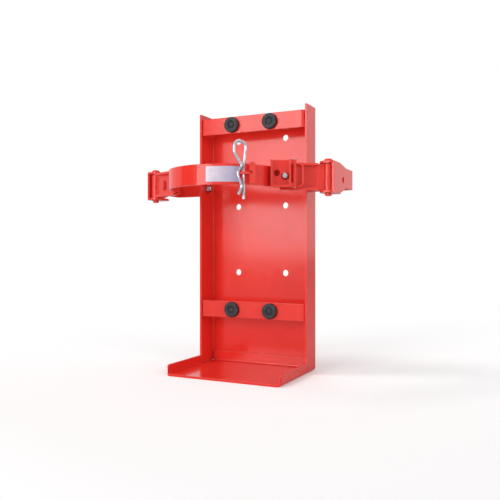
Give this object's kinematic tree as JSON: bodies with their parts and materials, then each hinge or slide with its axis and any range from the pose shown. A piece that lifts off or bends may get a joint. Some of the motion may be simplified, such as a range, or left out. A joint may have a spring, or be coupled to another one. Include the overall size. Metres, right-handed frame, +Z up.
{
  "type": "fire extinguisher bracket",
  "caption": "Heavy-duty wall bracket for a fire extinguisher: folded back channel, standing foot, padded cross straps and a hinged two-jaw clamp held by a spring clip.",
  "frame": {"origin": "on the back face of the back plate, midway between the two middle wall holes", "axes": "+X right seen from the front, -Y towards the viewer, +Z up"},
  "size_m": [0.292, 0.1945, 0.3843],
  "materials": {
    "red_paint": "glossy red powder coat",
    "zinc": "bright zinc plate",
    "rubber": "matt black rubber",
    "label": "satin silver plate, bare"
  },
  "bodies": {
    "frame": {"back_channel": "red_paint", "foot_plate": "red_paint", "upper_strap": "red_paint", "lower_strap": "red_paint", "upper_left_pad": "rubber", "upper_right_pad": "rubber", "lower_left_pad": "rubber", "lower_right_pad": "rubber", "upper_left_pad_rivet": "rubber", "upper_right_pad_rivet": "rubber", "lower_left_pad_rivet": "rubber", "lower_right_pad_rivet": "rubber", "left_wing": "red_paint", "right_wing": "red_paint", "left_wing_bolt": "zinc", "right_wing_bolt": "zinc", "left_wing_nut": "zinc", "right_wing_nut": "zinc", "left_hinge_pin": "red_paint", "right_hinge_pin": "red_paint"},
    "left_jaw": {"left_arm": "red_paint", "left_band": "red_paint", "left_upper_tine": "red_paint", "left_lower_tine": "red_paint", "label_plate": "label"},
    "right_jaw": {"right_arm": "red_paint", "right_band": "red_paint", "lock_tongue": "red_paint", "latch_housing": "red_paint", "latch_bolt": "zinc", "latch_nut": "zinc", "latch_spacer": "zinc", "lever_pin": "zinc"},
    "clip": {"r_clip": "zinc"},
    "lever": {"latch_lever": "red_paint"}
  },
  "joints": [
    {"name": "left_jaw_hinge", "type": "hinge", "parent": "frame", "child": "left_jaw", "pos_m": [-0.136, -0.087, 0.0275], "axis": [0, 0, -1], "range_deg": [0, 80]},
    {"name": "right_jaw_hinge", "type": "hinge", "parent": "frame", "child": "right_jaw", "pos_m": [0.136, -0.087, 0.0275], "axis": [0, 0, 1], "range_deg": [0, 60]},
    {"name": "clip_slide", "type": "slide", "parent": "left_jaw", "child": "clip", "axis": [0, 0, 1], "range_m": [0, 0.06]},
    {"name": "lever_hinge", "type": "hinge", "parent": "right_jaw", "child": "lever", "pos_m": [0.10438, -0.12785, 0.0305], "axis": [0, 0, -1], "range_deg": [0, 95]}
  ]
}
